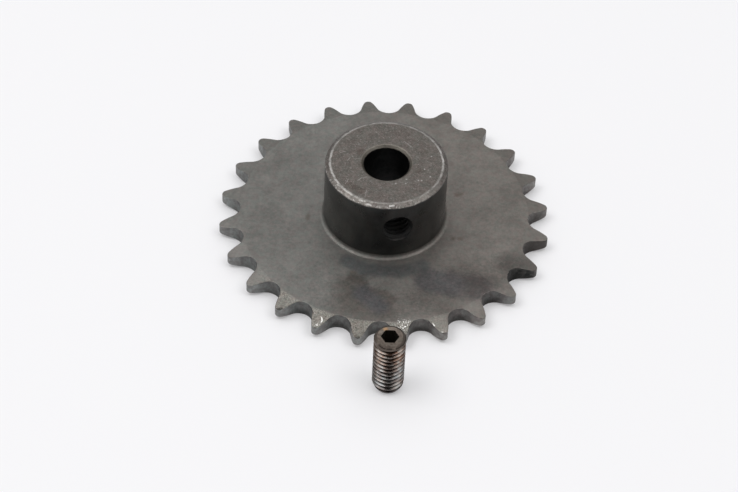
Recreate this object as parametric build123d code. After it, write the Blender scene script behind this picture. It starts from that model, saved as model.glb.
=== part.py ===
from build123d import *
import os
from math import cos, pi, radians, sin, sqrt, tan

# Chain sprocket with a hub on one side, and its cup-point set screw. Millimetres, +Z up.
# The origin is on the bore's axis at the plate's back face, and a tooth gap faces -Y.

# Chain and teeth
CHAIN_PITCH = 6.35          # #25 chain, 1/4 in
ROLLER_DIAMETER = 3.3
TEETH = 24
SEAT_CLEARANCE = 0.3        # between a roller and its seat, on the radius
SEAT_ANGLE = 133.0          # how far the seat's arc wraps the roller, in degrees
FLANK_RADIUS = 9.2          # convex side of a tooth
TIP_RADIUS = 0.7            # rounded end of a tooth

# Toothed plate
PLATE_THICKNESS = 2.8
RELIEF_LENGTH = 3.2         # bevel on both faces of the teeth, measured in from the tips
RELIEF_DEPTH = 0.62         # what that bevel takes off each face at the tips

# Hub
OVERALL_LENGTH = 14.0       # plate's back face to the hub's end
HUB_DIAMETER = 18.85
HUB_FILLET = 0.65           # where the hub meets the plate
END_BEVEL_WIDTH = 0.7       # bevel round the hub's end face
END_BEVEL_DROP = 0.45
BORE_DIAMETER = 7.0
BORE_CHAMFER = 0.4          # 45 degrees, at both ends of the bore

# Set screw, #10-32, and the tapped hole that it came out of
THREAD_DIAMETER = 4.83      # the hole is drawn at the thread's outside diameter
CREST_CLEARANCE = 0.04      # between the hole and the screw's crests, on the radius
SCREW_HOLE_FROM_END = 4.9   # hole's axis, back from the hub's end
SCREW_HOLE_AZIMUTH = 13.0   # hole's direction, in degrees from -Y towards +X
SCREW_LENGTH = 10.7
SOCKET_ACROSS_FLATS = 2.38
SOCKET_DEPTH = 3.0
HEAD_CHAMFER_WIDTH = 0.5    # at the socket end
HEAD_CHAMFER_DROP = 0.35
POINT_DIAMETER = 3.7        # rim of the cup that bites on the shaft
POINT_LENGTH = 0.9          # taper from the crests down to that rim
CUP_DIAMETER = 2.5
CUP_ANGLE = 118.0           # included angle of the cup, in degrees
SCREW_STANDOFF = 6.5        # the screw's axis, out from the tooth tips
SCREW_SIDE = 1.5            # and towards +X

EDGE = 1.0                  # how far a cutter runs past the surface that it cuts

pitch_radius = CHAIN_PITCH / (2 * sin(pi / TEETH))
half_step = pi / TEETH
seat_radius = ROLLER_DIAMETER / 2 + SEAT_CLEARANCE
hub_radius = HUB_DIAMETER / 2
bore_radius = BORE_DIAMETER / 2
thread_radius = THREAD_DIAMETER / 2

# One tooth gap, drawn about a gap centred on the angle 0. The flank's centre lies on the line
# from the roller's centre through the end of the seat, so that the two arcs are tangent there.
wrap = radians(SEAT_ANGLE / 2)
seat_end = Vector(pitch_radius - seat_radius * cos(wrap), seat_radius * sin(wrap))
flank_reach = seat_radius + FLANK_RADIUS
flank_centre = Vector(pitch_radius - flank_reach * cos(wrap), flank_reach * sin(wrap))

# The tip's circle sits on the tooth's centreline, tangent inside both flank circles.
tooth_line = Vector(cos(half_step), sin(half_step))
along = flank_centre.dot(tooth_line)
off_line = (flank_centre - tooth_line * along).length
tip_centre = tooth_line * (along + sqrt((FLANK_RADIUS - TIP_RADIUS) ** 2 - off_line ** 2))
outside_radius = tip_centre.length + TIP_RADIUS
tip_start = flank_centre + (tip_centre - flank_centre).normalized() * FLANK_RADIUS


def turned(point, angle):
    """A point of the outline, turned about the bore's axis by an angle in radians."""
    x = point.X * cos(angle) - point.Y * sin(angle)
    y = point.X * sin(angle) + point.Y * cos(angle)
    return Vector(x, y)


def mirrored(point):
    """A point of one side of the gap, carried to the gap's other side."""
    return Vector(point.X, -point.Y)


def tooth_outline():
    """The whole toothed edge: for each gap its seat, a flank, a tip and the next flank."""
    middle = (seat_end + tip_start) * 0.5 - flank_centre
    flank_middle = flank_centre + middle.normalized() * FLANK_RADIUS
    seat_bottom = Vector(pitch_radius - seat_radius, 0)
    tip_top = tooth_line * outside_radius
    edges = []
    for gap in range(TEETH):
        angle = gap * 2 * half_step - pi / 2
        following = angle + 2 * half_step
        next_tip_start = turned(mirrored(tip_start), following)
        edges += [
            ThreePointArc(*[turned(p, angle) for p in (mirrored(seat_end), seat_bottom, seat_end)]),
            ThreePointArc(*[turned(p, angle) for p in (seat_end, flank_middle, tip_start)]),
            ThreePointArc(turned(tip_start, angle), turned(tip_top, angle), next_tip_start),
            ThreePointArc(*[turned(mirrored(p), following) for p in (tip_start, flank_middle, seat_end)]),
        ]
    return make_face(Wire(edges))


def turned_blank():
    """Plate, hub and bore in one turning, with the rim bevelled past the tips on both faces."""
    relief_start = outside_radius - RELIEF_LENGTH
    blank_radius = outside_radius + EDGE
    rim = RELIEF_DEPTH * (blank_radius - relief_start) / RELIEF_LENGTH
    top = PLATE_THICKNESS
    length = OVERALL_LENGTH
    with BuildSketch(Plane.XZ) as section:
        with BuildLine():
            Polyline(
                (hub_radius + HUB_FILLET, top),
                (relief_start, top),
                (blank_radius, top - rim),
                (blank_radius, rim),
                (relief_start, 0),
                (bore_radius + BORE_CHAMFER, 0),
                (bore_radius, BORE_CHAMFER),
                (bore_radius, length - BORE_CHAMFER),
                (bore_radius + BORE_CHAMFER, length),
                (hub_radius - END_BEVEL_WIDTH, length),
                (hub_radius, length - END_BEVEL_DROP),
                (hub_radius, top + HUB_FILLET),
            )
            RadiusArc((hub_radius, top + HUB_FILLET), (hub_radius + HUB_FILLET, top), -HUB_FILLET)
        make_face()
    return revolve(section.sketch, Axis.Z)


def sprocket():
    """The turned blank with its tooth gaps cut and the set screw's hole drilled to the bore."""
    waste = Circle(outside_radius + 2 * EDGE) - tooth_outline()
    gaps = Pos(0, 0, -EDGE) * extrude(waste, PLATE_THICKNESS + 2 * EDGE)
    drill = Cylinder(thread_radius, hub_radius + EDGE, align=(Align.CENTER, Align.CENTER, Align.MIN))
    height = OVERALL_LENGTH - SCREW_HOLE_FROM_END
    hole = Pos(0, 0, height) * Rot(0, 0, SCREW_HOLE_AZIMUTH) * Rot(90, 0, 0) * drill
    return turned_blank() - gaps - hole


def set_screw():
    """The screw on its cup point: crests as a plain cylinder, with the hexagon socket on top."""
    crest = thread_radius - CREST_CLEARANCE
    point = POINT_DIAMETER / 2
    cup_height = CUP_DIAMETER / 2 / tan(radians(CUP_ANGLE / 2))
    with BuildSketch(Plane.XZ) as section:
        with BuildLine():
            Polyline(
                (0, cup_height),
                (CUP_DIAMETER / 2, 0),
                (point, 0),
                (crest, POINT_LENGTH),
                (crest, SCREW_LENGTH - HEAD_CHAMFER_DROP),
                (crest - HEAD_CHAMFER_WIDTH, SCREW_LENGTH),
                (0, SCREW_LENGTH),
                close=True,
            )
        make_face()
    body = revolve(section.sketch, Axis.Z)
    hexagon = RegularPolygon(SOCKET_ACROSS_FLATS / 2, 6, major_radius=False)
    socket = Pos(0, 0, SCREW_LENGTH - SOCKET_DEPTH) * extrude(hexagon, SOCKET_DEPTH + EDGE)
    return Pos(SCREW_SIDE, -(outside_radius + SCREW_STANDOFF), 0) * (body - socket)


os.makedirs("parts", exist_ok=True)
for name, solid in (("sprocket", sprocket()), ("set_screw", set_screw())):
    export_step(solid, f"parts/{name}.step")
    box = solid.bounding_box()
    print(name, "solids", len(solid.solids()), "volume", round(solid.volume, 3), "box", box.min, box.max)
print("outside diameter", round(2 * outside_radius, 3))
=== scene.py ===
from math import atan2, cos, hypot, pi, radians, sin, sqrt

import bmesh
import bpy
from mathutils import Matrix, Vector


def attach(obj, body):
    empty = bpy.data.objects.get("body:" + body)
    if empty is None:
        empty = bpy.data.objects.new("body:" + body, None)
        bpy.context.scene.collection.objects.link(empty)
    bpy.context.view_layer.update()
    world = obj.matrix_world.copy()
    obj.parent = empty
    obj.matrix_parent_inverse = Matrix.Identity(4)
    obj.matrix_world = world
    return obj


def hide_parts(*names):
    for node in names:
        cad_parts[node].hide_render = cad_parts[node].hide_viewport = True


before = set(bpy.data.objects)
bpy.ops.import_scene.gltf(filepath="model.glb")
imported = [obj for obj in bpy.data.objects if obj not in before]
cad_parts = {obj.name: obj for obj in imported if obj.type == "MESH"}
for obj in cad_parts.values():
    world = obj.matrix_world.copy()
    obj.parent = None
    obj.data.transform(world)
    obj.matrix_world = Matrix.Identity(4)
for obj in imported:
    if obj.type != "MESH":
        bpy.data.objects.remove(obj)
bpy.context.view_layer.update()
scene = bpy.context.scene
scene.view_settings.view_transform = "Standard"

# ---------------------------------------------------------------------------------------------
# Camera. It looks down at the sprocket from 47 degrees up on the -Y side, through a long lens,
# turned a little on its own axis.
# ---------------------------------------------------------------------------------------------
CAMERA_ELEVATION = 0.82217
CAMERA_ROLL = 0.0438
CAMERA_DISTANCE = 0.4122
CAMERA_AIM = Vector((-0.00214, -0.00451, 0.0))
SENSOR_WIDTH = 36
FOCAL_LENGTH = 129.577

camera = bpy.data.objects.new("camera", bpy.data.cameras.new("camera"))
scene.collection.objects.link(camera)
scene.camera = camera
camera.data.sensor_width = SENSOR_WIDTH
camera.data.lens = FOCAL_LENGTH
camera.data.clip_start = 0.01
camera.data.clip_end = 20
tilt = Matrix.Rotation(pi / 2 - CAMERA_ELEVATION, 4, "X")
place = Matrix.Translation(CAMERA_AIM + tilt @ Vector((0, 0, CAMERA_DISTANCE)))
camera.matrix_world = place @ tilt @ Matrix.Rotation(CAMERA_ROLL, 4, "Z")


# ---------------------------------------------------------------------------------------------
# Studio floor. A sheet of matt white paper that the parts stand on, far wider than the view.
# Part of its white is its own, so that it stays even and the shadow at the parts' foot is soft.
# ---------------------------------------------------------------------------------------------
FLOOR_HALF_WIDTH = 2.5
FLOOR_BELOW = 0.00003
FLOOR_WHITE = (0.8805, 0.8745, 0.886, 1)
FLOOR_OWN_WHITE = 0.28


def node(tree, kind, inputs=None, **settings):
    """A shader node with its settings, each input given a value or another node's output."""
    made = tree.nodes.new(kind)
    for name, value in settings.items():
        setattr(made, name, value)
    for name, value in (inputs or {}).items():
        if isinstance(value, bpy.types.NodeSocket):
            tree.links.new(value, made.inputs[name])
        else:
            made.inputs[name].default_value = value
    return made


def maths(tree, operation, first, second=0.0, clamp=False):
    """The result of one sum on two numbers."""
    made = node(tree, "ShaderNodeMath", {0: first, 1: second}, operation=operation, use_clamp=clamp)
    return made.outputs[0]


def link_object(name, bm, scale=1.0):
    """The finished mesh as an object at the origin."""
    bmesh.ops.scale(bm, vec=(scale,) * 3, verts=bm.verts)
    mesh = bpy.data.meshes.new(name)
    bm.to_mesh(mesh)
    bm.free()
    made = bpy.data.objects.new(name, mesh)
    scene.collection.objects.link(made)
    return made


paper = bmesh.new()
bmesh.ops.create_grid(paper, x_segments=1, y_segments=1, size=FLOOR_HALF_WIDTH)
bmesh.ops.translate(paper, verts=paper.verts, vec=(0, 0, -FLOOR_BELOW))
floor = link_object("floor", paper)
floor_material = bpy.data.materials.new("white_paper")
floor_material.use_nodes = True
tree = floor_material.node_tree
tree.nodes.clear()
path = node(tree, "ShaderNodeLightPath")
seen = maths(tree, "MAXIMUM", path.outputs["Is Camera Ray"], path.outputs["Is Glossy Ray"])
seen = maths(tree, "MAXIMUM", seen, path.outputs["Is Transmission Ray"])
own_share = maths(tree, "MULTIPLY", seen, FLOOR_OWN_WHITE)
matt = node(tree, "ShaderNodeBsdfDiffuse", {"Color": FLOOR_WHITE})
glow = node(tree, "ShaderNodeEmission", {"Color": FLOOR_WHITE, "Strength": 1.0})
paper_shader = node(tree, "ShaderNodeMixShader", {0: own_share, 1: matt.outputs[0], 2: glow.outputs[0]})
node(tree, "ShaderNodeOutputMaterial", {"Surface": paper_shader.outputs[0]})
floor.data.materials.append(floor_material)


# ---------------------------------------------------------------------------------------------
# Studio light. A tent of white cloth, lit through its roof, with a slit in front for the camera
# and a wide soft box high on each side, so that no shadow has a hard edge.
# ---------------------------------------------------------------------------------------------
CLOTH_WHITE = (0.985, 0.992, 1.0, 1)
CLOTH_FOOT = 0.215
CLOTH_WALL = 0.635
CLOTH_ROOF = 0.925
CLOTH_FRONT = 0.7
WALL_RISE = (0.1, 0.45)
ROOF_RISE = (0.55, 0.95)
SLIT_DARK = 0.92
SLIT_SIDES = (0.13, 0.38)
SLIT_BACK = (-0.25, 0.1)
BOX_DISTANCE = 0.9
BOX_LENGTH = 0.5
BOX_WIDTH = 0.46
BOX_ELEVATION = radians(60)
SOFT_BOXES = (("left", radians(-174), 2.3), ("right", radians(-17), 1.4))


def ramp(tree, value, low, high, to_low=0.0, to_high=1.0, kind="SMOOTHSTEP"):
    """A value that runs from to_low at low to to_high at high, and stays level outside."""
    inputs = {"Value": value, "From Min": low, "From Max": high, "To Min": to_low, "To Max": to_high}
    return node(tree, "ShaderNodeMapRange", inputs, interpolation_type=kind).outputs["Result"]


def split(tree, vector):
    """A vector's three numbers."""
    return node(tree, "ShaderNodeSeparateXYZ", {0: vector}).outputs


world = bpy.data.worlds.new("white_cloth")
world.use_nodes = True
tree = world.node_tree
tree.nodes.clear()
sky = node(tree, "ShaderNodeTexCoord").outputs["Generated"]
along_x, forward, up = split(tree, sky)
wall = ramp(tree, up, *WALL_RISE, CLOTH_FOOT, CLOTH_WALL)
roof = ramp(tree, up, *ROOF_RISE, 0.0, CLOTH_ROOF)
slit = ramp(tree, maths(tree, "ABSOLUTE", along_x), *SLIT_SIDES, SLIT_DARK, 0.0)
slit = maths(tree, "MULTIPLY", slit, ramp(tree, forward, *SLIT_BACK, 1.0, 0.0))
lengthways = ramp(tree, forward, -0.9, 0.9, CLOTH_FRONT, 1.0)
lengthways = maths(tree, "MULTIPLY", lengthways, maths(tree, "SUBTRACT", 1.0, slit))
strength = maths(tree, "MULTIPLY", maths(tree, "ADD", wall, roof), lengthways)
cloth = node(tree, "ShaderNodeBackground", {"Color": CLOTH_WHITE, "Strength": strength})
node(tree, "ShaderNodeOutputWorld", {"Surface": cloth.outputs[0]})
scene.world = world

for side, box_direction, watts in SOFT_BOXES:
    box = bpy.data.objects.new("soft_box_" + side, bpy.data.lights.new("soft_box_" + side, "AREA"))
    scene.collection.objects.link(box)
    box.data.shape = "RECTANGLE"
    box.data.size = BOX_LENGTH
    box.data.size_y = BOX_WIDTH
    box.data.energy = watts
    flat = cos(BOX_ELEVATION)
    toward = Vector((flat * cos(box_direction), flat * sin(box_direction), sin(BOX_ELEVATION)))
    aimed = toward.to_track_quat("Z", "Y").to_matrix().to_4x4()
    box.matrix_world = Matrix.Translation(toward * BOX_DISTANCE) @ aimed


# ---------------------------------------------------------------------------------------------
# Sprocket. One piece of steel: the blank and its hub are turned, the teeth are hobbed, and both
# faces of the teeth are bevelled so that the chain's side plates slide past. Sizes are in
# millimetres, and the mesh is brought to metres at the end.
# ---------------------------------------------------------------------------------------------
MM = 0.001
TEETH = 24
CHAIN_PITCH = 6.35
PITCH_RADIUS = CHAIN_PITCH / (2 * sin(pi / TEETH))
SEAT_RADIUS = 1.95
SEAT_WRAP = radians(66.5)
FLANK_RADIUS = 9.2
TIP_RADIUS = 0.7
PLATE_THICKNESS = 2.8
RELIEF_LENGTH = 3.2
RELIEF_DEPTH = 0.62
HUB_RADIUS = 9.425
HUB_FILLET = 0.65
HUB_END = 14.0
END_BEVEL = (0.7, 0.45)
BORE_RADIUS = 3.5
BORE_CHAMFER = 0.4
EDGE_LAND = 0.15
EDGE_ROUND = 0.09
SEAT_STEPS = 8
FLANK_STEPS = 6
TIP_STEPS = 6
FILLET_STEPS = 8
CRISP_ANGLE = radians(20)
SHARP_ANGLE = radians(35)


def arc(bm, start, centre, end, steps):
    """Carries a vertex round a centre to the direction of end, and returns the last vertex."""
    first, last = start.co - centre, end - centre
    turn = atan2(first.x * last.y - first.y * last.x, first.x * last.x + first.y * last.y)
    made = bmesh.ops.spin(bm, geom=[start], cent=centre, axis=(0, 0, 1), angle=turn, steps=steps)
    return made["geom_last"][0]


def carry(bm, loop, place, finish=0):
    """Extrudes a closed loop of edges into a band, puts each new vertex where place() says for
    its radius and direction, and returns the band's far loop."""
    made = bmesh.ops.extrude_edge_only(bm, edges=loop)["geom"]
    fresh = {v for v in made if isinstance(v, bmesh.types.BMVert)}
    for vert in fresh:
        radius = hypot(vert.co.x, vert.co.y)
        direction = atan2(vert.co.y, vert.co.x)
        new_radius, height = place(radius, direction)
        vert.co = (new_radius * cos(direction), new_radius * sin(direction), height)
    for face in made:
        if isinstance(face, bmesh.types.BMFace):
            face.material_index = finish
    return [e for e in made if isinstance(e, bmesh.types.BMEdge) and set(e.verts) <= fresh]


def relief(radius):
    """How far the teeth's bevel has cut into a face at this radius."""
    return max(0.0, radius - RELIEF_START) * RELIEF_DEPTH / RELIEF_LENGTH


# Half of one tooth gap: its round seat, the side of the tooth and half of the tip.
flank_reach = SEAT_RADIUS + FLANK_RADIUS
flank_centre = Vector((PITCH_RADIUS - flank_reach * cos(SEAT_WRAP), flank_reach * sin(SEAT_WRAP), 0))
tooth_line = Vector((cos(pi / TEETH), sin(pi / TEETH), 0))
along = flank_centre.dot(tooth_line)
off_line = (flank_centre - tooth_line * along).length
tip_centre = tooth_line * (along + sqrt((FLANK_RADIUS - TIP_RADIUS) ** 2 - off_line ** 2))
outside_radius = tip_centre.length + TIP_RADIUS
RELIEF_START = outside_radius - RELIEF_LENGTH
roller_centre = Vector((PITCH_RADIUS, 0, 0))
steel = bmesh.new()
seat_bottom = steel.verts.new((PITCH_RADIUS - SEAT_RADIUS, 0, 0))
seat_end = arc(steel, seat_bottom, roller_centre, flank_centre, SEAT_STEPS)
tip_start = arc(steel, seat_end, flank_centre, tip_centre, FLANK_STEPS)
arc(steel, tip_start, tip_centre, tip_centre + tooth_line, TIP_STEPS)
bmesh.ops.mirror(steel, geom=steel.verts[:] + steel.edges[:], axis="Y", merge_dist=1e-5)
bmesh.ops.rotate(steel, verts=steel.verts, cent=(0, 0, 0), matrix=Matrix.Rotation(-pi / 2, 3, "Z"))
bmesh.ops.spin(
    steel, geom=steel.verts[:] + steel.edges[:], cent=(0, 0, 0), axis=(0, 0, 1), angle=2 * pi, steps=TEETH,
    use_duplicate=True,
)
bmesh.ops.remove_doubles(steel, verts=steel.verts, dist=1e-4)

# Round the section from the teeth's lower edge: up the teeth, in over the plate, up the hub,
# down the bore and back under the plate. Each band has its finish.
PLATE, TOOTH_SIDE, WALL, HUB_FACE, BORE = range(5)
for vert in steel.verts:
    vert.co.z = relief(hypot(vert.co.x, vert.co.y))
start = steel.edges[:]
under = carry(steel, start, lambda r, d: (min(RELIEF_START, r - EDGE_LAND), 0), PLATE)
loop = carry(steel, start, lambda r, d: (r, PLATE_THICKNESS - relief(r)), TOOTH_SIDE)
loop = carry(steel, loop, lambda r, d: (min(RELIEF_START, r - EDGE_LAND), PLATE_THICKNESS), PLATE)
for edge in loop + under:
    edge.smooth = False
for turn in range(FILLET_STEPS + 1):
    slope = turn / FILLET_STEPS * pi / 2
    ring = (HUB_RADIUS + HUB_FILLET * (1 - sin(slope)), PLATE_THICKNESS + HUB_FILLET * (1 - cos(slope)))
    loop = carry(steel, loop, lambda r, d: ring, PLATE)
end_width, end_drop = END_BEVEL
for ring, finish in (
    ((HUB_RADIUS, HUB_END - end_drop), WALL),
    ((HUB_RADIUS - end_width, HUB_END), HUB_FACE),
    ((BORE_RADIUS + BORE_CHAMFER, HUB_END), HUB_FACE),
    ((BORE_RADIUS, HUB_END - BORE_CHAMFER), HUB_FACE),
    ((BORE_RADIUS, BORE_CHAMFER), BORE),
    ((BORE_RADIUS + BORE_CHAMFER, 0), PLATE),
):
    loop = carry(steel, loop, lambda r, d: ring, finish)
for face in bmesh.ops.bridge_loops(steel, edges=loop + under)["faces"]:
    face.material_index = PLATE
bmesh.ops.recalc_face_normals(steel, faces=steel.faces)

crisp = [e for e in steel.edges if e.calc_face_angle() > CRISP_ANGLE]
rounded = bmesh.ops.bevel(
    steel, geom=crisp, offset=EDGE_ROUND, affect="EDGES", segments=3, profile=0.5, material=-1,
    clamp_overlap=False,
)
on_edge = steel.verts.layers.float.new("edge")
strips = set(rounded["faces"])
for vert in steel.verts:
    vert[on_edge] = float(all(face in strips for face in vert.link_faces))
for edge in steel.edges:
    if sum(face in strips for face in edge.link_faces) == 1:
        edge.smooth = False
for face in steel.faces:
    face.smooth = True
sprocket = link_object("sprocket_steel", steel, MM)

# ---------------------------------------------------------------------------------------------
# Set screw's hole. Drilled from the hub's side into the bore and tapped #10-32, square to the
# shaft and 13 degrees off the front tooth gap. The tap's shape is cut out of the sprocket.
# ---------------------------------------------------------------------------------------------
THREAD_PITCH = 25.4 / 32
HOLE_RADIUS = 2.415
HOLE_CREST = 2.03
HOLE_HEIGHT = 9.1
HOLE_DIRECTION = radians(13)
HOLE_START = 0.5
HOLE_PAST_HUB = 1
HOLE_PHASE = 0.3
MOUTH_START = 9.25
MOUTH_RUN_OUT = 0.5
MOUTH_FLARE = 0.7
THREAD_FLAT = 0.25 * THREAD_PITCH
THREAD_FLANK = 0.3125 * THREAD_PITCH
TURN_STEPS = 72


def threaded(bm, crest, root, low, high, phase):
    """A right-hand 60 degree thread up the Z axis, cut off square and open at both heights."""
    corners = (
        (root, 0), (root, THREAD_FLAT),
        (crest, THREAD_FLAT + THREAD_FLANK), (crest, THREAD_PITCH - THREAD_FLANK),
    )
    bottom = low - 2 * THREAD_PITCH + phase % THREAD_PITCH
    chain = []
    while bottom < high + THREAD_PITCH:
        chain += [bm.verts.new((radius, 0, bottom + rise)) for radius, rise in corners]
        bottom += THREAD_PITCH
    edges = [bm.edges.new(pair) for pair in zip(chain, chain[1:])]
    bmesh.ops.spin(
        bm, geom=chain + edges, cent=(0, 0, 0), axis=(0, 0, 1), angle=2 * pi, steps=TURN_STEPS,
        dvec=(0, 0, THREAD_PITCH / TURN_STEPS),
    )
    bmesh.ops.remove_doubles(bm, verts=bm.verts, dist=1e-3)
    for height, way in ((low, -1), (high, 1)):
        bmesh.ops.bisect_plane(
            bm, geom=bm.verts[:] + bm.edges[:] + bm.faces[:], dist=1e-6, plane_co=(0, 0, height),
            plane_no=(0, 0, way), clear_outer=True,
        )
    bmesh.ops.recalc_face_normals(bm, faces=bm.faces)


tap = bmesh.new()
threaded(tap, HOLE_RADIUS, HOLE_CREST, HOLE_START, HUB_RADIUS + HOLE_PAST_HUB, HOLE_PHASE)
for vert in tap.verts:
    radius, direction = hypot(vert.co.x, vert.co.y), atan2(vert.co.y, vert.co.x)
    opened = min(1.0, max(0.0, (vert.co.z - MOUTH_START + MOUTH_RUN_OUT) / MOUTH_RUN_OUT))
    radius += (HOLE_RADIUS - radius) * opened + max(0.0, vert.co.z - MOUTH_START) * MOUTH_FLARE
    vert.co.x, vert.co.y = radius * cos(direction), radius * sin(direction)
bmesh.ops.holes_fill(tap, edges=[e for e in tap.edges if e.is_boundary])
bmesh.ops.recalc_face_normals(tap, faces=tap.faces)
for face in tap.faces:
    face.smooth = True
lay_out = Matrix.Rotation(HOLE_DIRECTION, 4, "Z") @ Matrix.Rotation(pi / 2, 4, "X")
bmesh.ops.transform(tap, matrix=Matrix.Translation((0, 0, HOLE_HEIGHT)) @ lay_out, verts=tap.verts)
cutter = link_object("tap", tap, MM)


# ---------------------------------------------------------------------------------------------
# Sprocket's finish. Black oxide over bare steel, grown thicker in soft patches, with a fine
# grain. The plate was ground, the hub turned, and handling has left oil stains and rub marks.
# ---------------------------------------------------------------------------------------------
def vector_maths(tree, operation, *inputs, output=0):
    """The result of one step on two vectors, or on a vector and a scale."""
    return node(tree, "ShaderNodeVectorMath", dict(enumerate(inputs)), operation=operation).outputs[output]


def mixed(tree, factor, first, second, how="MIX"):
    """Two colours blended by a factor."""
    inputs = {0: factor, 6: first, 7: second}
    return node(tree, "ShaderNodeMix", inputs, data_type="RGBA", blend_type=how).outputs[2]


def scaled(tree, vector, factor):
    """A vector or colour times a number."""
    return node(tree, "ShaderNodeVectorMath", {0: vector, "Scale": factor}, operation="SCALE").outputs[0]


def noise(tree, position, size, detail=2.0, roughness=0.55, output="Fac"):
    """Soft noise whose blotches are about size millimetres wide."""
    scale = maths(tree, "DIVIDE", 1.0, size) if isinstance(size, bpy.types.NodeSocket) else 1.0 / size
    inputs = {"Vector": position, "Scale": scale, "Detail": detail, "Roughness": roughness}
    return node(tree, "ShaderNodeTexNoise", inputs).outputs[output]


def new_group(name, inputs, outputs):
    """An empty shader group with named sockets: its tree, its inputs and its output node."""
    tree = bpy.data.node_groups.new(name, "ShaderNodeTree")
    kinds = {"VECTOR": "NodeSocketVector", "COLOR": "NodeSocketColor", "VALUE": "NodeSocketFloat"}
    for socket_name, kind in inputs.items():
        tree.interface.new_socket(socket_name, in_out="INPUT", socket_type=kinds[kind])
    for socket_name, kind in outputs.items():
        tree.interface.new_socket(socket_name, in_out="OUTPUT", socket_type=kinds[kind])
    return tree, node(tree, "NodeGroupInput").outputs, node(tree, "NodeGroupOutput")


# Oxide: two shades in soft patches, with a warm or cool cast that changes every millimetre or
# so and a fine grain.
oxide_group, given, result = new_group(
    "oxide",
    {
        "Position": "VECTOR", "Thin": "COLOR", "Thick": "COLOR", "Patch": "VALUE", "Grain": "VALUE",
        "Contrast": "VALUE",
    },
    {"Color": "COLOR", "Height": "VALUE"},
)
patches = ramp(oxide_group, noise(oxide_group, given["Position"], given["Patch"], 3.0), 0.36, 0.64)
shade = mixed(oxide_group, patches, given["Thin"], given["Thick"])
cast = ramp(oxide_group, noise(oxide_group, given["Position"], 0.9, 2.0, 0.6), 0.34, 0.66)
cast = mixed(oxide_group, cast, (0.966, 1.008, 1.0, 1), (1.036, 0.992, 0.995, 1))
shade = mixed(oxide_group, 1.0, shade, cast, "MULTIPLY")
grain = noise(oxide_group, given["Position"], maths(oxide_group, "MULTIPLY", given["Grain"], 3.0), 3.0, 0.8)
swing = maths(oxide_group, "MULTIPLY", maths(oxide_group, "SUBTRACT", grain, 0.5), given["Contrast"])
shade = scaled(oxide_group, shade, maths(oxide_group, "ADD", swing, 1.0))
oxide_group.links.new(shade, result.inputs["Color"])
oxide_group.links.new(grain, result.inputs["Height"])

# Mark: a stain, scratch or chip along a line from start to end, with a ragged outline.
mark_group, given, result = new_group(
    "mark",
    {
        "Position": "VECTOR", "Start": "VECTOR", "End": "VECTOR", "Radius": "VALUE", "Fade": "VALUE",
        "Ragged": "VALUE", "Ragged Size": "VALUE",
    },
    {"Mask": "VALUE"},
)
wander = noise(mark_group, given["Position"], given["Ragged Size"], 3.0, 0.6, "Color")
wander = scaled(mark_group, vector_maths(mark_group, "SUBTRACT", wander, (0.5, 0.5, 0.5)), given["Ragged"])
from_start = vector_maths(
    mark_group, "SUBTRACT", vector_maths(mark_group, "ADD", given["Position"], wander), given["Start"]
)
line = vector_maths(mark_group, "SUBTRACT", given["End"], given["Start"])
share = maths(
    mark_group, "DIVIDE",
    vector_maths(mark_group, "DOT_PRODUCT", from_start, line, output="Value"),
    maths(mark_group, "MAXIMUM", vector_maths(mark_group, "DOT_PRODUCT", line, line, output="Value"), 1e-4),
    clamp=True,
)
away = vector_maths(
    mark_group, "LENGTH", vector_maths(mark_group, "SUBTRACT", from_start, scaled(mark_group, line, share)),
    output="Value",
)
inner = maths(mark_group, "SUBTRACT", given["Radius"], given["Fade"])
outer = maths(mark_group, "ADD", given["Radius"], given["Fade"])
mark_group.links.new(ramp(mark_group, away, inner, outer, 1.0, 0.0), result.inputs["Mask"])

# Specks: small separate spots, scattered over this share of the surface.
speck_group, given, result = new_group(
    "specks", {"Position": "VECTOR", "Size": "VALUE", "Share": "VALUE"}, {"Mask": "VALUE"}
)
dots = noise(speck_group, given["Position"], given["Size"], 2.0, 0.5)
cut_off = maths(speck_group, "SUBTRACT", 0.72, maths(speck_group, "MULTIPLY", given["Share"], 0.5))
lit = ramp(speck_group, dots, cut_off, maths(speck_group, "ADD", cut_off, 0.07))
speck_group.links.new(lit, result.inputs["Mask"])

# Streaks: short fine scratches that run the way the stretch says.
streak_group, given, result = new_group(
    "streaks", {"Position": "VECTOR", "Stretch": "VECTOR", "Turn": "VALUE", "Share": "VALUE"},
    {"Mask": "VALUE"},
)
turned = node(
    streak_group, "ShaderNodeVectorRotate",
    {"Vector": given["Position"], "Axis": (0, 0, 1), "Angle": given["Turn"]}, rotation_type="AXIS_ANGLE",
).outputs[0]
hairs = noise(streak_group, vector_maths(streak_group, "MULTIPLY", turned, given["Stretch"]), 1.0, 0.0)
cut_off = maths(streak_group, "SUBTRACT", 1.0, given["Share"])
lines = ramp(streak_group, hairs, cut_off, maths(streak_group, "ADD", cut_off, 0.06))
streak_group.links.new(lines, result.inputs["Mask"])


def new_finish(name, roughness):
    """A metal material, with its tree, its shader and the position on the part in millimetres."""
    material = bpy.data.materials.new(name)
    material.use_nodes = True
    tree = material.node_tree
    shader = tree.nodes["Principled BSDF"]
    shader.inputs["Metallic"].default_value = 1.0
    shader.inputs["Roughness"].default_value = roughness
    position = scaled(tree, node(tree, "ShaderNodeTexCoord").outputs["Object"], 1 / MM)
    return material, tree, shader, position


def oxide(tree, position, thin, thick, patch, grain, contrast):
    """The oxide group placed in a material: its colour and its height."""
    inputs = {
        "Position": position, "Thin": (*thin, 1), "Thick": (*thick, 1), "Patch": patch, "Grain": grain,
        "Contrast": contrast,
    }
    placed = node(tree, "ShaderNodeGroup", inputs, node_tree=oxide_group)
    return placed.outputs["Color"], placed.outputs["Height"]


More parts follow.
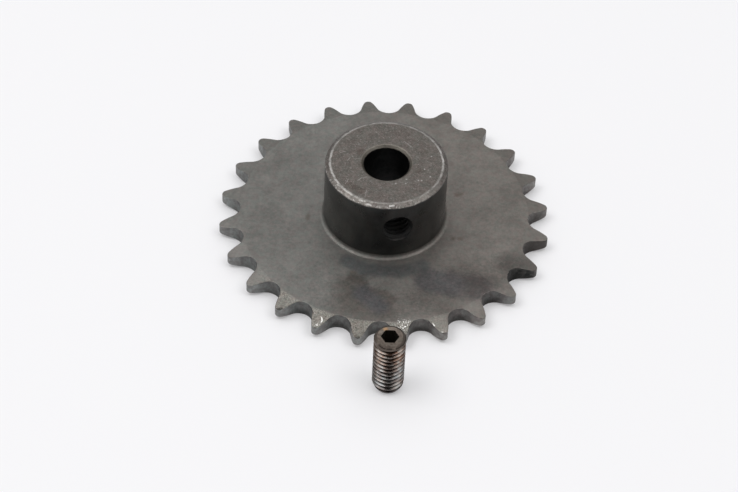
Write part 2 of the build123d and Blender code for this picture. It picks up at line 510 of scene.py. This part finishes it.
def marks(tree, position, height, places, radius, fade, ragged, ragged_size):
    """One mask for several marks of one kind, each given by the two ends of its line."""
    mask = None
    for start_x, start_y, end_x, end_y in places:
        inputs = {
            "Position": position, "Start": (start_x, start_y, height), "End": (end_x, end_y, height),
            "Radius": radius, "Fade": fade, "Ragged": ragged, "Ragged Size": ragged_size,
        }
        one = node(tree, "ShaderNodeGroup", inputs, node_tree=mark_group).outputs["Mask"]
        mask = one if mask is None else maths(tree, "MAXIMUM", mask, one)
    return mask


def specks(tree, position, size, share):
    """The speck group placed in a material."""
    inputs = {"Position": position, "Size": size, "Share": share}
    return node(tree, "ShaderNodeGroup", inputs, node_tree=speck_group).outputs["Mask"]


def streaks(tree, position, stretch, turn, share):
    """The streak group placed in a material."""
    inputs = {"Position": position, "Stretch": stretch, "Turn": turn, "Share": share}
    return node(tree, "ShaderNodeGroup", inputs, node_tree=streak_group).outputs["Mask"]


def both(tree, first, second):
    """Two masks, or a mask and a share, multiplied."""
    return maths(tree, "MULTIPLY", first, second)


def either(tree, first, second):
    """The stronger of two masks."""
    return maths(tree, "MAXIMUM", first, second)


def tinted(tree, mask, colour, tint):
    """The colour, multiplied by a tint where the mask is."""
    return mixed(tree, mask, colour, (*tint, 1), "MULTIPLY")


def painted(tree, mask, colour, paint, share=1.0):
    """The colour, covered by another to this share where the mask is."""
    factor = mask if share == 1.0 else both(tree, mask, share)
    return mixed(tree, factor, colour, (*paint, 1))


def bump(tree, shader, height, depth):
    """Relief from a height, depth millimetres from its lowest to its highest."""
    raised = node(tree, "ShaderNodeBump", {"Height": height, "Distance": depth * MM, "Strength": 1.0})
    tree.links.new(raised.outputs[0], shader.inputs["Normal"])


def from_axis(tree, position):
    """How far out from the bore's axis."""
    return vector_maths(tree, "LENGTH", vector_maths(tree, "MULTIPLY", position, (1, 1, 0)), output="Value")


def rub_edges(tree, position, colour):
    """The colour, with the part's rounded edges rubbed bright in places."""
    edge = node(tree, "ShaderNodeAttribute", attribute_name="edge").outputs["Fac"]
    worn_places = ramp(tree, noise(tree, position, 0.7, 3.0), 0.45, 0.7)
    return painted(tree, both(tree, edge, worn_places), colour, (0.45, 0.43, 0.40), 0.5)


# The plate's two faces, with the teeth's bevels. In front the bevels are rubbed back to grey
# steel. Oily stains lie between them and the hub, and painted shade lies round the hub's foot.
BEVEL_HEIGHT = 2.5
TIP_HEIGHT = 2.2
PLATE_ROUGHNESS = 0.58
OILY_ROUGHNESS = 0.46
FRONT_DIRECTION = (-0.24, -0.97, 0)

plate_finish, tree, shader, position = new_finish("plate_finish", PLATE_ROUGHNESS)
along_x, along_y, _ = split(tree, position)
colour, grain = oxide(
    tree, position, thin=(0.214, 0.208, 0.195), thick=(0.185, 0.179, 0.168),
    patch=3.2, grain=0.2, contrast=0.66,
)
# Painted shade, with a warmer cast, over the plate's right side.
painted_right_shade = ramp(tree, along_x, -12, 12)
colour = tinted(tree, painted_right_shade, colour, (0.965, 0.918, 0.897))
# Painted shade: broad darker patches out on the plate's left and right.
thick = marks(
    tree, position, PLATE_THICKNESS,
    ((-19.5, 2.5, -17.5, -8.5), (19.0, 5.5, 18.0, 0.5), (-16.5, 9.5, -15.0, 8.5)),
    radius=3.0, fade=3.0, ragged=2.5, ragged_size=4.0,
)
colour = tinted(tree, thick, colour, (0.88, 0.88, 0.88))
# Painted light: lighter patches towards the back of the plate, on the left and the right.
thin = marks(
    tree, position, PLATE_THICKNESS,
    ((-10.9, 5.6, -12.6, 1.6), (11.1, 3.2, 11.3, 0.0)),
    radius=1.1, fade=1.1, ragged=1.2, ragged_size=3.0,
)
colour = tinted(tree, thin, colour, (1.13, 1.13, 1.13))
# Painted shade round the hub's foot in front: the hub's dark reflection on the plate.
painted_hub_shade = marks(
    tree, position, PLATE_THICKNESS,
    ((-5.2, -10.3, -2.6, -12.0), (-2.6, -12.0, 2.8, -12.2), (2.8, -12.2, 6.0, -10.7)),
    radius=1.25, fade=0.6, ragged=0.9, ragged_size=1.6,
)
colour = tinted(tree, painted_hub_shade, colour, (0.66, 0.70, 0.74))
left_stain = marks(
    tree, position, PLATE_THICKNESS,
    ((-4.1, -15.2, -3.8, -16.6), (-2.8, -17.8, 0.1, -18.4)),
    radius=2.25, fade=0.65, ragged=1.9, ragged_size=1.7,
)
stain_edge = marks(
    tree, position, PLATE_THICKNESS,
    ((-5.0, -16.2, -5.1, -19.6), (-4.6, -19.6, 0.6, -20.3)),
    radius=2.3, fade=2.0, ragged=1.0, ragged_size=2.0,
)
left_stain = either(tree, left_stain, both(tree, stain_edge, 0.95))
colour = tinted(tree, left_stain, colour, (0.655, 0.625, 0.61))
oil = marks(
    tree, position, PLATE_THICKNESS,
    ((-2.8, -16.8, -0.2, -19.4),),
    radius=1.5, fade=0.9, ragged=1.0, ragged_size=1.2,
)
colour = tinted(tree, oil, colour, (0.87, 0.92, 1.03))
right_stain = marks(
    tree, position, PLATE_THICKNESS,
    ((7.4, -13.8, 10.6, -14.3),),
    radius=2.4, fade=0.9, ragged=1.4, ragged_size=1.8,
)
colour = tinted(tree, right_stain, colour, (0.585, 0.60, 0.65))
brown_stain = marks(
    tree, position, PLATE_THICKNESS,
    ((11.2, -14.2, 14.6, -14.8),),
    radius=2.7, fade=1.2, ragged=1.6, ragged_size=1.8,
)
brown_stain = both(tree, brown_stain, maths(tree, "SUBTRACT", 1.0, both(tree, right_stain, 0.85)))
colour = tinted(tree, brown_stain, colour, (0.55, 0.535, 0.56))
film = marks(
    tree, position, PLATE_THICKNESS,
    ((13.0, -12.0, 19.5, -11.5), (6.0, -17.4, 9.5, -18.3)),
    radius=2.5, fade=1.8, ragged=1.5, ragged_size=2.5,
)
colour = tinted(tree, film, colour, (0.78, 0.77, 0.77))
dull_teeth = marks(
    tree, position, BEVEL_HEIGHT,
    ((20.0, -9.5, 23.5, -10.5),),
    radius=2.2, fade=1.2, ragged=1.5, ragged_size=1.5,
)
colour = tinted(tree, dull_teeth, colour, (0.68, 0.68, 0.685))
handled = marks(
    tree, position, PLATE_THICKNESS,
    ((8.5, -15.0, 19.5, -12.0), (-8.0, -17.0, 6.0, -19.5)),
    radius=4.0, fade=2.5, ragged=2.0, ragged_size=3.0,
)
mottle = maths(tree, "SUBTRACT", noise(tree, position, 0.45, 3.0, 0.65), 0.5)
mottle = maths(tree, "MULTIPLY", mottle, ramp(tree, handled, 0, 1, 0.16, 0.62))
colour = scaled(tree, colour, maths(tree, "ADD", mottle, 1.0))
spots = marks(
    tree, position, PLATE_THICKNESS,
    ((11.3, 4.6, 11.9, 4.9), (11.9, -4.7, 11.9, -4.7), (10.8, -4.8, 10.8, -4.8),
     (-11.9, -1.9, -11.8, -1.3), (-4.6, -12.7, -4.2, -12.8)),
    radius=0.35, fade=0.35, ragged=0.4, ragged_size=0.8,
)
colour = tinted(tree, spots, colour, (0.80, 0.74, 0.71))
radius = from_axis(tree, position)
to_front = vector_maths(tree, "DOT_PRODUCT", position, FRONT_DIRECTION, output="Value")
front = ramp(tree, maths(tree, "DIVIDE", to_front, radius), 0.68, 0.95)
front = either(tree, front, ramp(tree, along_y, 8, 16, 0.0, 0.22))
on_teeth = ramp(tree, maths(tree, "ADD", radius, noise(tree, position, 0.5, 2.0)), 22.75, 23.35)
wear = ramp(tree, noise(tree, position, 0.5, 3.0, 0.7), 0.28, 0.62, 0.35, 1.0)
rubbed = both(tree, both(tree, on_teeth, front), wear)
bare, bare_height = oxide(
    tree, position, thin=(0.255, 0.240, 0.213), thick=(0.183, 0.172, 0.151),
    patch=0.5, grain=0.085, contrast=3.2,
)
colour = mixed(tree, rubbed, colour, bare)
duller = marks(
    tree, position, BEVEL_HEIGHT,
    ((-3.5, -22.6, -3.3, -24.6),),
    radius=1.2, fade=0.8, ragged=0.5, ragged_size=1.0,
)
colour = tinted(tree, duller, colour, (0.87, 0.855, 0.85))
brighter = marks(
    tree, position, BEVEL_HEIGHT,
    ((8.6, -21.3, 9.4, -23.6),),
    radius=1.2, fade=0.8, ragged=0.5, ragged_size=1.0,
)
colour = tinted(tree, brighter, colour, (1.10, 1.10, 1.10))
colour = rub_edges(tree, position, colour)
tip_dirt = marks(
    tree, position, TIP_HEIGHT,
    ((-3.7, -25.45, -3.1, -25.45), (-9.8, -23.8, -9.3, -23.95), (9.2, -23.9, 10.0, -23.8),
     (-15.5, -20.35, -14.9, -20.2), (14.5, -20.9, 15.2, -20.6)),
    radius=0.24, fade=0.16, ragged=0.35, ragged_size=0.35,
)
colour = painted(tree, tip_dirt, colour, (0.03, 0.028, 0.026), 0.75)
scratch = marks(
    tree, position, BEVEL_HEIGHT,
    ((-9.05, -21.5, -8.75, -22.0), (-8.75, -22.0, -8.65, -22.5), (-8.65, -22.5, -8.9, -23.0),
     (-8.9, -23.0, -9.35, -23.45), (7.6, -21.7, 8.2, -22.6), (-8.1, -21.3, -8.05, -21.5)),
    radius=0.085, fade=0.05, ragged=0.12, ragged_size=0.4,
)
colour = painted(tree, scratch, colour, (0.86, 0.85, 0.82))
glint_area = marks(
    tree, position, BEVEL_HEIGHT,
    ((2.9, -22.3, 4.2, -22.2), (3.1, -23.4, 3.8, -22.9), (9.4, -23.75, 9.7, -23.75),
     (-9.4, -23.4, -9.4, -23.4)),
    radius=0.45, fade=0.35, ragged=0.5, ragged_size=0.5,
)
glints = both(tree, glint_area, specks(tree, position, 0.2, 0.36))
faint_glints = both(tree, rubbed, both(tree, specks(tree, position, 0.16, 0.24), 0.3))
glints = either(tree, glints, faint_glints)
colour = painted(tree, glints, colour, (0.95, 0.93, 0.9))
tree.links.new(colour, shader.inputs["Base Color"])
oily = either(tree, left_stain, either(tree, right_stain, brown_stain))
roughness = ramp(tree, oily, 0, 1, PLATE_ROUGHNESS, OILY_ROUGHNESS, "LINEAR")
tree.links.new(roughness, shader.inputs["Roughness"])
bump(tree, shader, maths(tree, "ADD", grain, both(tree, bare_height, rubbed)), 0.022)

# The teeth's sides, left by the hob with faint marks across the plate's thickness. The chain
# keeps the tips clean, and the seats are darker towards the bench: old oil, with painted shade.
SIDE_MIDDLE = PLATE_THICKNESS / 2

tooth_side_finish, tree, shader, position = new_finish("tooth_side_finish", 0.5)
along_x, _, up = split(tree, position)
radius = from_axis(tree, position)
colour, grain = oxide(
    tree, position, thin=(0.164, 0.162, 0.160), thick=(0.118, 0.117, 0.115),
    patch=0.9, grain=0.18, contrast=1.1,
)
across = noise(tree, vector_maths(tree, "MULTIPLY", position, (1.6, 1.6, 0.5)), 1.0, 3.0, 0.7)
colour = scaled(tree, colour, ramp(tree, across, 0.3, 0.7, 0.85, 1.15, "LINEAR"))
warm = mixed(tree, ramp(tree, along_x, -15, 15), (0.985, 1.01, 1.0, 1), (0.98, 0.935, 0.91, 1))
colour = mixed(tree, 1.0, colour, warm, "MULTIPLY")
# Lighter towards the tips, darker down in the seats and near the bench: painted shade with some oil.
clean_tips_and_seat_shade = ramp(tree, radius, 22.6, 25.2, 1.12, 1.6)
oil_and_low_shade = ramp(tree, radius, 22.8, 24.9, ramp(tree, along_x, -20, -12, 0.95, 0.48), 1.0)
colour = scaled(tree, colour, both(tree, clean_tips_and_seat_shade, ramp(tree, up, 0.5, 2.0, oil_and_low_shade, 1.0)))
colour = rub_edges(tree, position, colour)
black_oil = marks(
    tree, position, SIDE_MIDDLE,
    ((19.6, -10.8, 24.4, -11.6),),
    radius=1.6, fade=0.6, ragged=0.8, ragged_size=1.2,
)
smeared = ramp(tree, noise(tree, position, 0.7, 3.0, 0.6), 0.35, 0.65, 0.78, 1.0)
colour = painted(tree, both(tree, black_oil, smeared), colour, (0.017, 0.018, 0.017))
brown_oil = marks(
    tree, position, SIDE_MIDDLE,
    ((21.3, -4.2, 25.2, -4.3), (24.6, 0.9, 25.8, 1.2)),
    radius=1.6, fade=0.8, ragged=0.8, ragged_size=1.2,
)
colour = painted(tree, brown_oil, colour, (0.052, 0.047, 0.044), 0.85)
dull_side = marks(
    tree, position, SIDE_MIDDLE,
    ((16.8, -15.6, 19.4, -15.2),),
    radius=1.4, fade=0.8, ragged=0.8, ragged_size=1.2,
)
colour = tinted(tree, dull_side, colour, (0.74, 0.76, 0.77))
tree.links.new(colour, shader.inputs["Base Color"])
bump(tree, shader, maths(tree, "ADD", grain, across), 0.02)

# The hub's side: smooth turned steel, so that it mirrors the dark plate.
hub_wall_finish, tree, shader, position = new_finish("hub_wall_finish", 0.3)
colour, grain = oxide(
    tree, position, thin=(0.094, 0.094, 0.091), thick=(0.070, 0.070, 0.069),
    patch=3.0, grain=0.25, contrast=0.6,
)
tree.links.new(colour, shader.inputs["Base Color"])
rings = noise(tree, vector_maths(tree, "MULTIPLY", position, (0.15, 0.15, 6.0)), 1.0, 2.0)
roughness = ramp(tree, noise(tree, position, 2.0, 3.0), 0.3, 0.7, 0.26, 0.38, "LINEAR")
tree.links.new(roughness, shader.inputs["Roughness"])
bump(tree, shader, maths(tree, "ADD", grain, rings), 0.006)

# The hub's end: a worn turned face with fine scratches and specks. Its bevel is rubbed bright
# along the inner line and chipped along the outer edge in front, and both carry a painted
# highlight, strongest on the left.
WORN_RADIUS = HUB_RADIUS - END_BEVEL[0] - 0.08
MOUTH_EDGE = BORE_RADIUS + 0.42

hub_face_finish, tree, shader, position = new_finish("hub_face_finish", 0.5)
along_x, along_y, _ = split(tree, position)
radius = from_axis(tree, position)
front = ramp(tree, maths(tree, "DIVIDE", maths(tree, "MULTIPLY", along_y, -1.0), radius), -0.3, 0.9)
from_front_left = maths(tree, "ADD", along_y, maths(tree, "MULTIPLY", along_x, 0.55))
front_left = ramp(tree, from_front_left, -9.5, -1.0, 1.0, 0.0)
colour, grain = oxide(
    tree, position, thin=(0.159, 0.143, 0.130), thick=(0.130, 0.117, 0.106),
    patch=0.8, grain=0.13, contrast=1.3,
)
blotches = marks(
    tree, position, HUB_END,
    ((-4.1, 1.8, -4.0, 2.2), (-3.7, -0.9, -3.6, -0.5), (5.4, 2.5, 5.7, 2.7), (4.6, -1.5, 5.3, -1.3),
     (-5.6, -5.2, -3.6, -6.2)),
    radius=0.5, fade=0.5, ragged=0.8, ragged_size=0.9,
)
colour = mixed(tree, both(tree, blotches, 0.6), colour, (0.72, 0.66, 0.63, 1), "MULTIPLY")
fine = streaks(tree, position, (1.1, 9.0, 1.0), 0.6, 0.3)
fine = either(tree, fine, streaks(tree, position, (1.3, 10.0, 1.0), 2.0, 0.29))
colour = painted(tree, fine, colour, (0.5, 0.48, 0.46), 0.16)
colour = painted(tree, specks(tree, position, 0.22, 0.2), colour, (0.55, 0.52, 0.5), 0.22)
# A lighter, warm ring round the bore's mouth: a painted highlight.
bore_mouth_highlight = ramp(tree, radius, MOUTH_EDGE, BORE_RADIUS + 0.55, 1.0, 0.0)
colour = painted(tree, bore_mouth_highlight, colour, (0.225, 0.205, 0.17), 0.4)
# A bright line round the bevel's inner edge: rubbed wear with a painted highlight, strongest on the left,
# fainter to the front right and back.
strays = ramp(tree, noise(tree, position, 0.7, 3.0, 0.6), 0.0, 1.0, -0.2, 0.2, "LINEAR")
off_line = maths(tree, "SUBTRACT", maths(tree, "ADD", radius, strays), WORN_RADIUS)
fade_line = ramp(tree, maths(tree, "ABSOLUTE", off_line), 0.06, 0.26, 1.0, 0.0)
line_wear_and_highlight = ramp(tree, noise(tree, position, 0.9, 3.0), 0.34, 0.6, 0.3, 1.0)
line_wear_and_highlight = both(tree, fade_line, both(tree, line_wear_and_highlight, ramp(tree, along_y, 0.0, 8.0, 1.0, 0.7)))
from_front_right = maths(tree, "ADD", along_y, maths(tree, "MULTIPLY", along_x, -0.4))
line_wear_and_highlight = both(tree, line_wear_and_highlight, ramp(tree, from_front_right, -9.0, -3.0, 0.4, 1.0))
colour = painted(tree, line_wear_and_highlight, colour, (0.5, 0.485, 0.465), 0.85)
on_bevel = ramp(tree, radius, WORN_RADIUS + 0.13, WORN_RADIUS + 0.28)
chips = ramp(tree, noise(tree, position, 0.42, 3.0, 0.7), 0.4, 0.66)
chips = both(tree, both(tree, chips, on_bevel), front)
colour = painted(tree, chips, colour, (0.31, 0.285, 0.27), 0.5)
# Bright dashes along the rim, most on the front left: chips with a painted highlight.
rim_chips_and_highlight = both(tree, ramp(tree, radius, 9.0, 9.25), ramp(tree, noise(tree, position, 0.3, 2.0), 0.56, 0.65))
colour = painted(tree, both(tree, rim_chips_and_highlight, both(tree, front_left, 0.55)), colour, (0.56, 0.54, 0.52))
hairlines = marks(
    tree, position, HUB_END,
    ((-6.1, -4.8, -5.7, -4.0), (-4.3, -4.1, -3.6, -3.4), (-3.6, -3.4, -2.8, -3.2),
     (-7.1, 1.7, -6.4, 2.0), (-5.6, 0.7, -5.9, 0.1), (-3.1, -7.4, -2.9, -6.1), (2.5, 4.7, 3.9, 3.5)),
    radius=0.04, fade=0.08, ragged=0.55, ragged_size=0.5,
)
colour = painted(tree, hairlines, colour, (0.6, 0.58, 0.56), 0.5)
nicks = marks(
    tree, position, HUB_END,
    ((6.8, 1.7, 6.8, 1.7), (4.9, -3.5, 4.9, -3.5), (5.4, -3.5, 5.4, -3.5), (1.5, -4.4, 1.5, -4.4),
     (3.0, -4.3, 3.0, -4.3), (3.1, -3.4, 3.1, -3.4), (5.8, -1.1, 5.8, -1.1), (6.7, -2.6, 6.7, -2.6),
     (8.1, 3.0, 8.3, 2.6), (8.6, 1.2, 8.7, 0.8)),
    radius=0.1, fade=0.1, ragged=0.25, ragged_size=0.3,
)
colour = painted(tree, nicks, colour, (0.62, 0.6, 0.58), 0.6)
bright_chips = marks(
    tree, position, HUB_END - 0.2,
    ((-3.9, -7.95, -3.1, -8.3), (-2.9, -8.72, -2.0, -8.98), (0.7, -9.0, 1.4, -8.8),
     (-7.3, -5.0, -7.0, -5.3)),
    radius=0.1, fade=0.09, ragged=0.36, ragged_size=0.25,
)
colour = painted(tree, bright_chips, colour, (0.85, 0.83, 0.8), 0.66)
tree.links.new(colour, shader.inputs["Base Color"])
bump(tree, shader, maths(tree, "SUBTRACT", grain, fine), 0.012)

# The bore and the tapped hole: thick oxide, wet with oil, coloured near black, which paints shade into the
# holes.
bore_finish, tree, shader, position = new_finish("bore_finish", 0.45)
colour, grain = oxide(
    tree, position, thin=(0.050, 0.050, 0.050), thick=(0.030, 0.030, 0.030),
    patch=1.5, grain=0.3, contrast=0.5,
)
tree.links.new(colour, shader.inputs["Base Color"])
bump(tree, shader, grain, 0.01)
for finish in (plate_finish, tooth_side_finish, hub_wall_finish, hub_face_finish, bore_finish):
    sprocket.data.materials.append(finish)
tapped_hole_finish, tree, shader, position = new_finish("tapped_hole_finish", 0.62)
colour, grain = oxide(
    tree, position, thin=(0.049, 0.048, 0.046), thick=(0.035, 0.035, 0.035),
    patch=1.2, grain=0.3, contrast=0.5,
)
tree.links.new(colour, shader.inputs["Base Color"])
bump(tree, shader, grain, 0.01)
cutter.data.materials.append(tapped_hole_finish)

# The hole is cut here, now that the sprocket and the tap both have their finishes.
cut = sprocket.modifiers.new("tapped_hole", "BOOLEAN")
cut.operation = "DIFFERENCE"
cut.solver = "EXACT"
cut.object = cutter
cut.material_mode = "TRANSFER"
depsgraph = bpy.context.evaluated_depsgraph_get()
sprocket_mesh = bpy.data.meshes.new_from_object(sprocket.evaluated_get(depsgraph))
sprocket.modifiers.clear()
sprocket.data = sprocket_mesh
bpy.data.objects.remove(cutter)
sharpen = bmesh.new()
sharpen.from_mesh(sprocket_mesh)
for edge in sharpen.edges:
    if edge.is_manifold and edge.calc_face_angle() > SHARP_ANGLE:
        edge.smooth = False
sharpen.to_mesh(sprocket_mesh)
sharpen.free()
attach(sprocket, "root")
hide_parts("sprocket")


# ---------------------------------------------------------------------------------------------
# Set screw. A cup-point socket screw, #10-32 and 10.7 mm long, of alloy steel, with a rolled
# thread. It is out of its hole and stands on its point in front of the teeth.
# ---------------------------------------------------------------------------------------------
SCREW_AXIS = (1.5, -32.161)
SCREW_LENGTH = 10.7
SCREW_CREST = 2.375
SCREW_ROOT = 1.93
HEAD_CHAMFER = (0.5, 0.35)
HEAD_COLLAR = 0.75
COLLAR_RUN_OUT = 0.4
POINT_RADIUS = 1.85
POINT_LENGTH = 0.9
CUP_RADIUS = 1.25
CUP_DEPTH = 0.75
SOCKET_HALF_FLATS = 1.19
SOCKET_DEPTH = 3.0
SOCKET_CONE = 0.5
CREST_AT_FRONT = 1.334
THREAD_START = CREST_AT_FRONT + THREAD_PITCH / 4 - 0.625 * THREAD_PITCH
CENTRE_RADIUS = 1e-6
SCREW_ROUGHNESS = 0.24
SCUFFED_ROUGHNESS = 0.5

chamfer_width, chamfer_drop = HEAD_CHAMFER
screw = bmesh.new()
threaded(screw, SCREW_CREST, SCREW_ROOT, 0, SCREW_LENGTH, THREAD_START)
for vert in screw.verts:
    radius, direction, height = hypot(vert.co.x, vert.co.y), atan2(vert.co.y, vert.co.x), vert.co.z
    opened = min(1.0, max(0.0, (height - SCREW_LENGTH + HEAD_COLLAR) / COLLAR_RUN_OUT))
    radius += (SCREW_CREST - radius) * opened
    above = max(0, height - SCREW_LENGTH + chamfer_drop)
    radius = min(radius, SCREW_CREST - above * chamfer_width / chamfer_drop)
    radius = min(radius, POINT_RADIUS + height * (SCREW_CREST - POINT_RADIUS) / POINT_LENGTH)
    vert.co.x, vert.co.y = radius * cos(direction), radius * sin(direction)


def hexagon(direction):
    """The socket's wall, out from the axis, with corners towards +X and -X."""
    side = direction % (pi / 3) - pi / 6
    return SOCKET_HALF_FLATS / cos(side)


loop = [e for e in screw.edges if e.is_boundary and e.verts[0].co.z > SCREW_LENGTH / 2]
loop = carry(screw, loop, lambda r, d: (hexagon(d), SCREW_LENGTH))
loop = carry(screw, loop, lambda r, d: (hexagon(d), SCREW_LENGTH - SOCKET_DEPTH))
loop = carry(screw, loop, lambda r, d: (SOCKET_HALF_FLATS * 0.9, SCREW_LENGTH - SOCKET_DEPTH))
loop = carry(screw, loop, lambda r, d: (CENTRE_RADIUS, SCREW_LENGTH - SOCKET_DEPTH - SOCKET_CONE))
loop = [e for e in screw.edges if e.is_boundary and e.verts[0].co.z < 1]
loop = carry(screw, loop, lambda r, d: (CUP_RADIUS, 0))
loop = carry(screw, loop, lambda r, d: (CENTRE_RADIUS, CUP_DEPTH))
bmesh.ops.remove_doubles(screw, verts=screw.verts, dist=1e-5)
bmesh.ops.recalc_face_normals(screw, faces=screw.faces)
for face in screw.faces:
    face.smooth = True
bmesh.ops.translate(screw, verts=screw.verts, vec=(*SCREW_AXIS, 0))
set_screw = link_object("set_screw_steel", screw, MM)
set_screw.data.set_sharp_from_angle(angle=SHARP_ANGLE)

# The screw's finish: black oxide, burnt brown towards the head and blued towards the point, worn
# along the crests, with a spot of rust beside the socket and a dark foot that is partly painted
# shade. Shade is painted into the grooves and over the front of the head too.
screw_finish, tree, shader, position = new_finish("screw_finish", SCREW_ROUGHNESS)
_, along_y, up = split(tree, position)
radius = from_axis(tree, vector_maths(tree, "SUBTRACT", position, (*SCREW_AXIS, 0)))
colour, grain = oxide(
    tree, position, thin=(0.195, 0.179, 0.171), thick=(0.104, 0.085, 0.074),
    patch=0.9, grain=0.15, contrast=0.8,
)
# Darker below the crests, in the grooves, the socket and the point: darker oxide with painted shade.
colour = mixed(tree, ramp(tree, radius, 2.1, 2.36), scaled(tree, colour, 0.45), colour)
burnt = ramp(tree, noise(tree, position, 0.9, 3.0), 0.32, 0.58, 0.3, 1.0)
burnt = both(tree, ramp(tree, up, 4.5, 8.2), burnt)
colour = tinted(tree, burnt, colour, (0.82, 0.62, 0.51))
blued = ramp(tree, noise(tree, position, 1.3, 2.0), 0.42, 0.58)
blued = both(tree, ramp(tree, up, 7.5, 5.0, 0.0, 1.0), blued)
colour = tinted(tree, blued, colour, (0.84, 0.91, 0.97))
worn = both(tree, ramp(tree, noise(tree, position, 0.8, 3.0), 0.5, 0.64), ramp(tree, radius, 2.3, 2.36))
colour = painted(tree, worn, colour, (0.5, 0.45, 0.43), 0.3)
head = ramp(tree, up, SCREW_LENGTH - 0.3, SCREW_LENGTH - 0.12)
head_colour, _ = oxide(
    tree, position, thin=(0.185, 0.156, 0.133), thick=(0.132, 0.110, 0.093),
    patch=0.7, grain=0.12, contrast=1.2,
)
# The head's face darker at the front and lighter at the back: painted shade and light.
head_painted_shade = ramp(tree, along_y, SCREW_AXIS[1] - 2.2, SCREW_AXIS[1] + 2.0, 0.70, 1.22, "LINEAR")
colour = mixed(tree, head, colour, scaled(tree, head_colour, head_painted_shade))
chamfer = both(tree, ramp(tree, radius, 1.93, 2.0), ramp(tree, up, SCREW_LENGTH - 0.75, SCREW_LENGTH - 0.65))
colour = painted(tree, chamfer, colour, (0.115, 0.094, 0.080))
rust = marks(
    tree, position, SCREW_LENGTH,
    ((0.75, -30.85, 0.9, -30.75),),
    radius=0.2, fade=0.3, ragged=0.4, ragged_size=0.5,
)
colour = painted(tree, rust, colour, (0.55, 0.33, 0.16), 0.7)
in_socket = ramp(tree, radius, 1.4, 1.45, 1.0, 0.0)
in_socket = both(tree, in_socket, ramp(tree, up, SCREW_LENGTH - 0.2, SCREW_LENGTH - 0.05, 1.0, 0.0))
colour = painted(tree, in_socket, colour, (0.10, 0.093, 0.075))
scuffed = either(tree, head, in_socket)
roughness = ramp(tree, scuffed, 0, 1, SCREW_ROUGHNESS, SCUFFED_ROUGHNESS, "LINEAR")
tree.links.new(roughness, shader.inputs["Roughness"])
# Darker towards the point, where it meets the floor: dark oxide with painted contact shade.
dark_foot_and_shade = ramp(tree, up, 0.2, 1.1, 1.0, 0.0)
colour = painted(tree, dark_foot_and_shade, colour, (0.035, 0.022, 0.018), 0.85)
tree.links.new(colour, shader.inputs["Base Color"])
bump(tree, shader, grain, 0.008)
set_screw.data.materials.append(screw_finish)
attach(set_screw, "root")
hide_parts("set_screw")
